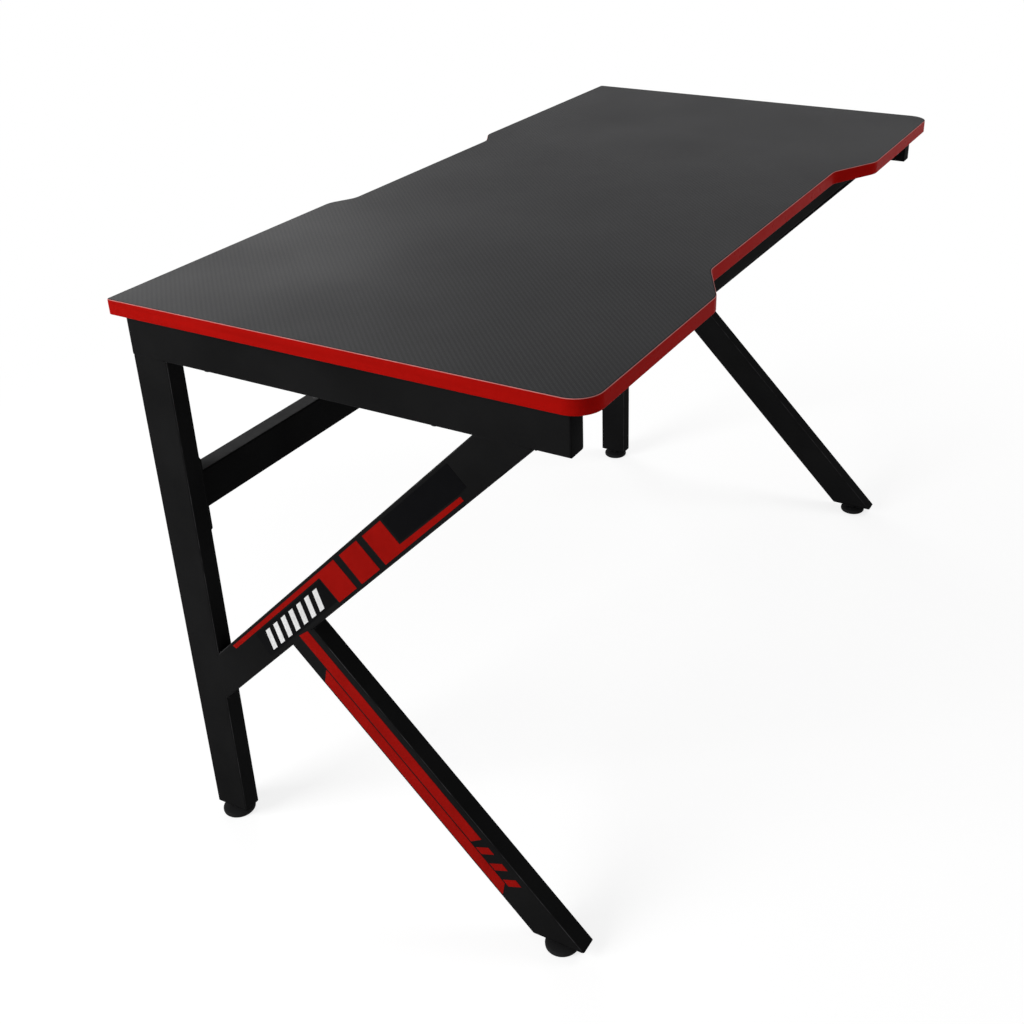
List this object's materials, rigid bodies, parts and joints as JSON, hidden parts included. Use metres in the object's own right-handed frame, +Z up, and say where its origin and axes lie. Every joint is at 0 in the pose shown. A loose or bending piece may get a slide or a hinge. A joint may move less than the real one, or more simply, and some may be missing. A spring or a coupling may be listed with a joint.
{
  "type": "gaming desk",
  "caption": "Gaming desk with a notched carbon-look top and red edge band on K-shaped black tube end frames, a rear crossbar, a front rail and screw levelling feet.",
  "frame": {"origin": "on the floor, under the middle of the desk", "axes": "+X along the desk to the user's right, +Y from the user's side to the rear, +Z up"},
  "size_m": [1.2, 0.6, 0.743],
  "materials": {
    "board": "raw particle board",
    "top_film": "fine carbon-look twill, satin",
    "under_film": "plain, matt",
    "edge_band": "satin red",
    "frame_paint": "satin black powder coat, fine texture",
    "black_plastic": "moulded, matt",
    "foot_plastic": "moulded, matt",
    "dark_steel": "black zinc",
    "zinc_steel": "bright zinc",
    "insert_metal": "plain",
    "red_vinyl": "satin red print",
    "black_vinyl": "satin black print",
    "white_vinyl": "satin white print"
  },
  "bodies": {
    "desk_frame": {"crossbar_bolts": "dark_steel", "crossbar_left_flange": "frame_paint", "crossbar_right_flange": "frame_paint", "crossbar_washers": "dark_steel", "crossbar_weld_nuts": "zinc_steel", "desktop_board": "board", "desktop_bolts": "dark_steel", "desktop_edge_band": "edge_band", "desktop_inserts": "insert_metal", "desktop_top_film": "top_film", "desktop_under_film": "under_film", "desktop_washers": "dark_steel", "foot_nuts": "zinc_steel", "front_rail": "frame_paint", "front_rail_bolts": "dark_steel", "front_rail_left_flange": "frame_paint", "front_rail_right_flange": "frame_paint", "front_rail_washers": "dark_steel", "front_rail_weld_nuts": "zinc_steel", "left_back_leg": "frame_paint", "left_back_plug": "black_plastic", "left_front_leg": "frame_paint", "left_front_plug": "black_plastic", "left_leg_red_vinyl": "red_vinyl", "left_rail_front_cap": "black_plastic", "left_rail_rear_cap": "black_plastic", "left_strut": "frame_paint", "left_strut_black_vinyl": "black_vinyl", "left_strut_red_vinyl": "red_vinyl", "left_strut_white_vinyl": "white_vinyl", "left_top_rail": "frame_paint", "rear_crossbar": "frame_paint", "right_back_leg": "frame_paint", "right_back_plug": "black_plastic", "right_front_leg": "frame_paint", "right_front_plug": "black_plastic", "right_leg_red_vinyl": "red_vinyl", "right_rail_front_cap": "black_plastic", "right_rail_rear_cap": "black_plastic", "right_strut": "frame_paint", "right_strut_black_vinyl": "black_vinyl", "right_strut_red_vinyl": "red_vinyl", "right_strut_white_vinyl": "white_vinyl", "right_top_rail": "frame_paint"},
    "left_back_stud": {"left_back_foot_stud": "zinc_steel"},
    "left_back_pad": {"left_back_foot_pad": "foot_plastic"},
    "left_front_stud": {"left_front_foot_stud": "zinc_steel"},
    "left_front_pad": {"left_front_foot_pad": "foot_plastic"},
    "right_back_stud": {"right_back_foot_stud": "zinc_steel"},
    "right_back_pad": {"right_back_foot_pad": "foot_plastic"},
    "right_front_stud": {"right_front_foot_stud": "zinc_steel"},
    "right_front_pad": {"right_front_foot_pad": "foot_plastic"}
  },
  "joints": [
    {"name": "left_back_foot_rise", "type": "slide", "parent": "desk_frame", "child": "left_back_stud", "axis": [0, 0, -1], "range_m": [0, 0.008]},
    {"name": "left_back_foot_turn", "type": "hinge", "parent": "left_back_stud", "child": "left_back_pad", "pos_m": [-0.5775, 0.26, 0], "axis": [0, 0, -1], "range_deg": [0, 2305]},
    {"name": "left_front_foot_rise", "type": "slide", "parent": "desk_frame", "child": "left_front_stud", "axis": [0, 0, -1], "range_m": [0, 0.008]},
    {"name": "left_front_foot_turn", "type": "hinge", "parent": "left_front_stud", "child": "left_front_pad", "pos_m": [-0.5775, -0.244, 0], "axis": [0, 0, -1], "range_deg": [0, 2305]},
    {"name": "right_back_foot_rise", "type": "slide", "parent": "desk_frame", "child": "right_back_stud", "axis": [0, 0, -1], "range_m": [0, 0.008]},
    {"name": "right_back_foot_turn", "type": "hinge", "parent": "right_back_stud", "child": "right_back_pad", "pos_m": [0.5775, 0.26, 0], "axis": [0, 0, -1], "range_deg": [0, 2305]},
    {"name": "right_front_foot_rise", "type": "slide", "parent": "desk_frame", "child": "right_front_stud", "axis": [0, 0, -1], "range_m": [0, 0.008]},
    {"name": "right_front_foot_turn", "type": "hinge", "parent": "right_front_stud", "child": "right_front_pad", "pos_m": [0.5775, -0.244, 0], "axis": [0, 0, -1], "range_deg": [0, 2305]}
  ],
  "couplings": [
    {"joint": "left_back_foot_turn", "follows": "left_back_foot_rise", "rad_per_m": 5026.5},
    {"joint": "left_front_foot_turn", "follows": "left_front_foot_rise", "rad_per_m": 5026.5},
    {"joint": "right_back_foot_turn", "follows": "right_back_foot_rise", "rad_per_m": 5026.5},
    {"joint": "right_front_foot_turn", "follows": "right_front_foot_rise", "rad_per_m": 5026.5}
  ]
}
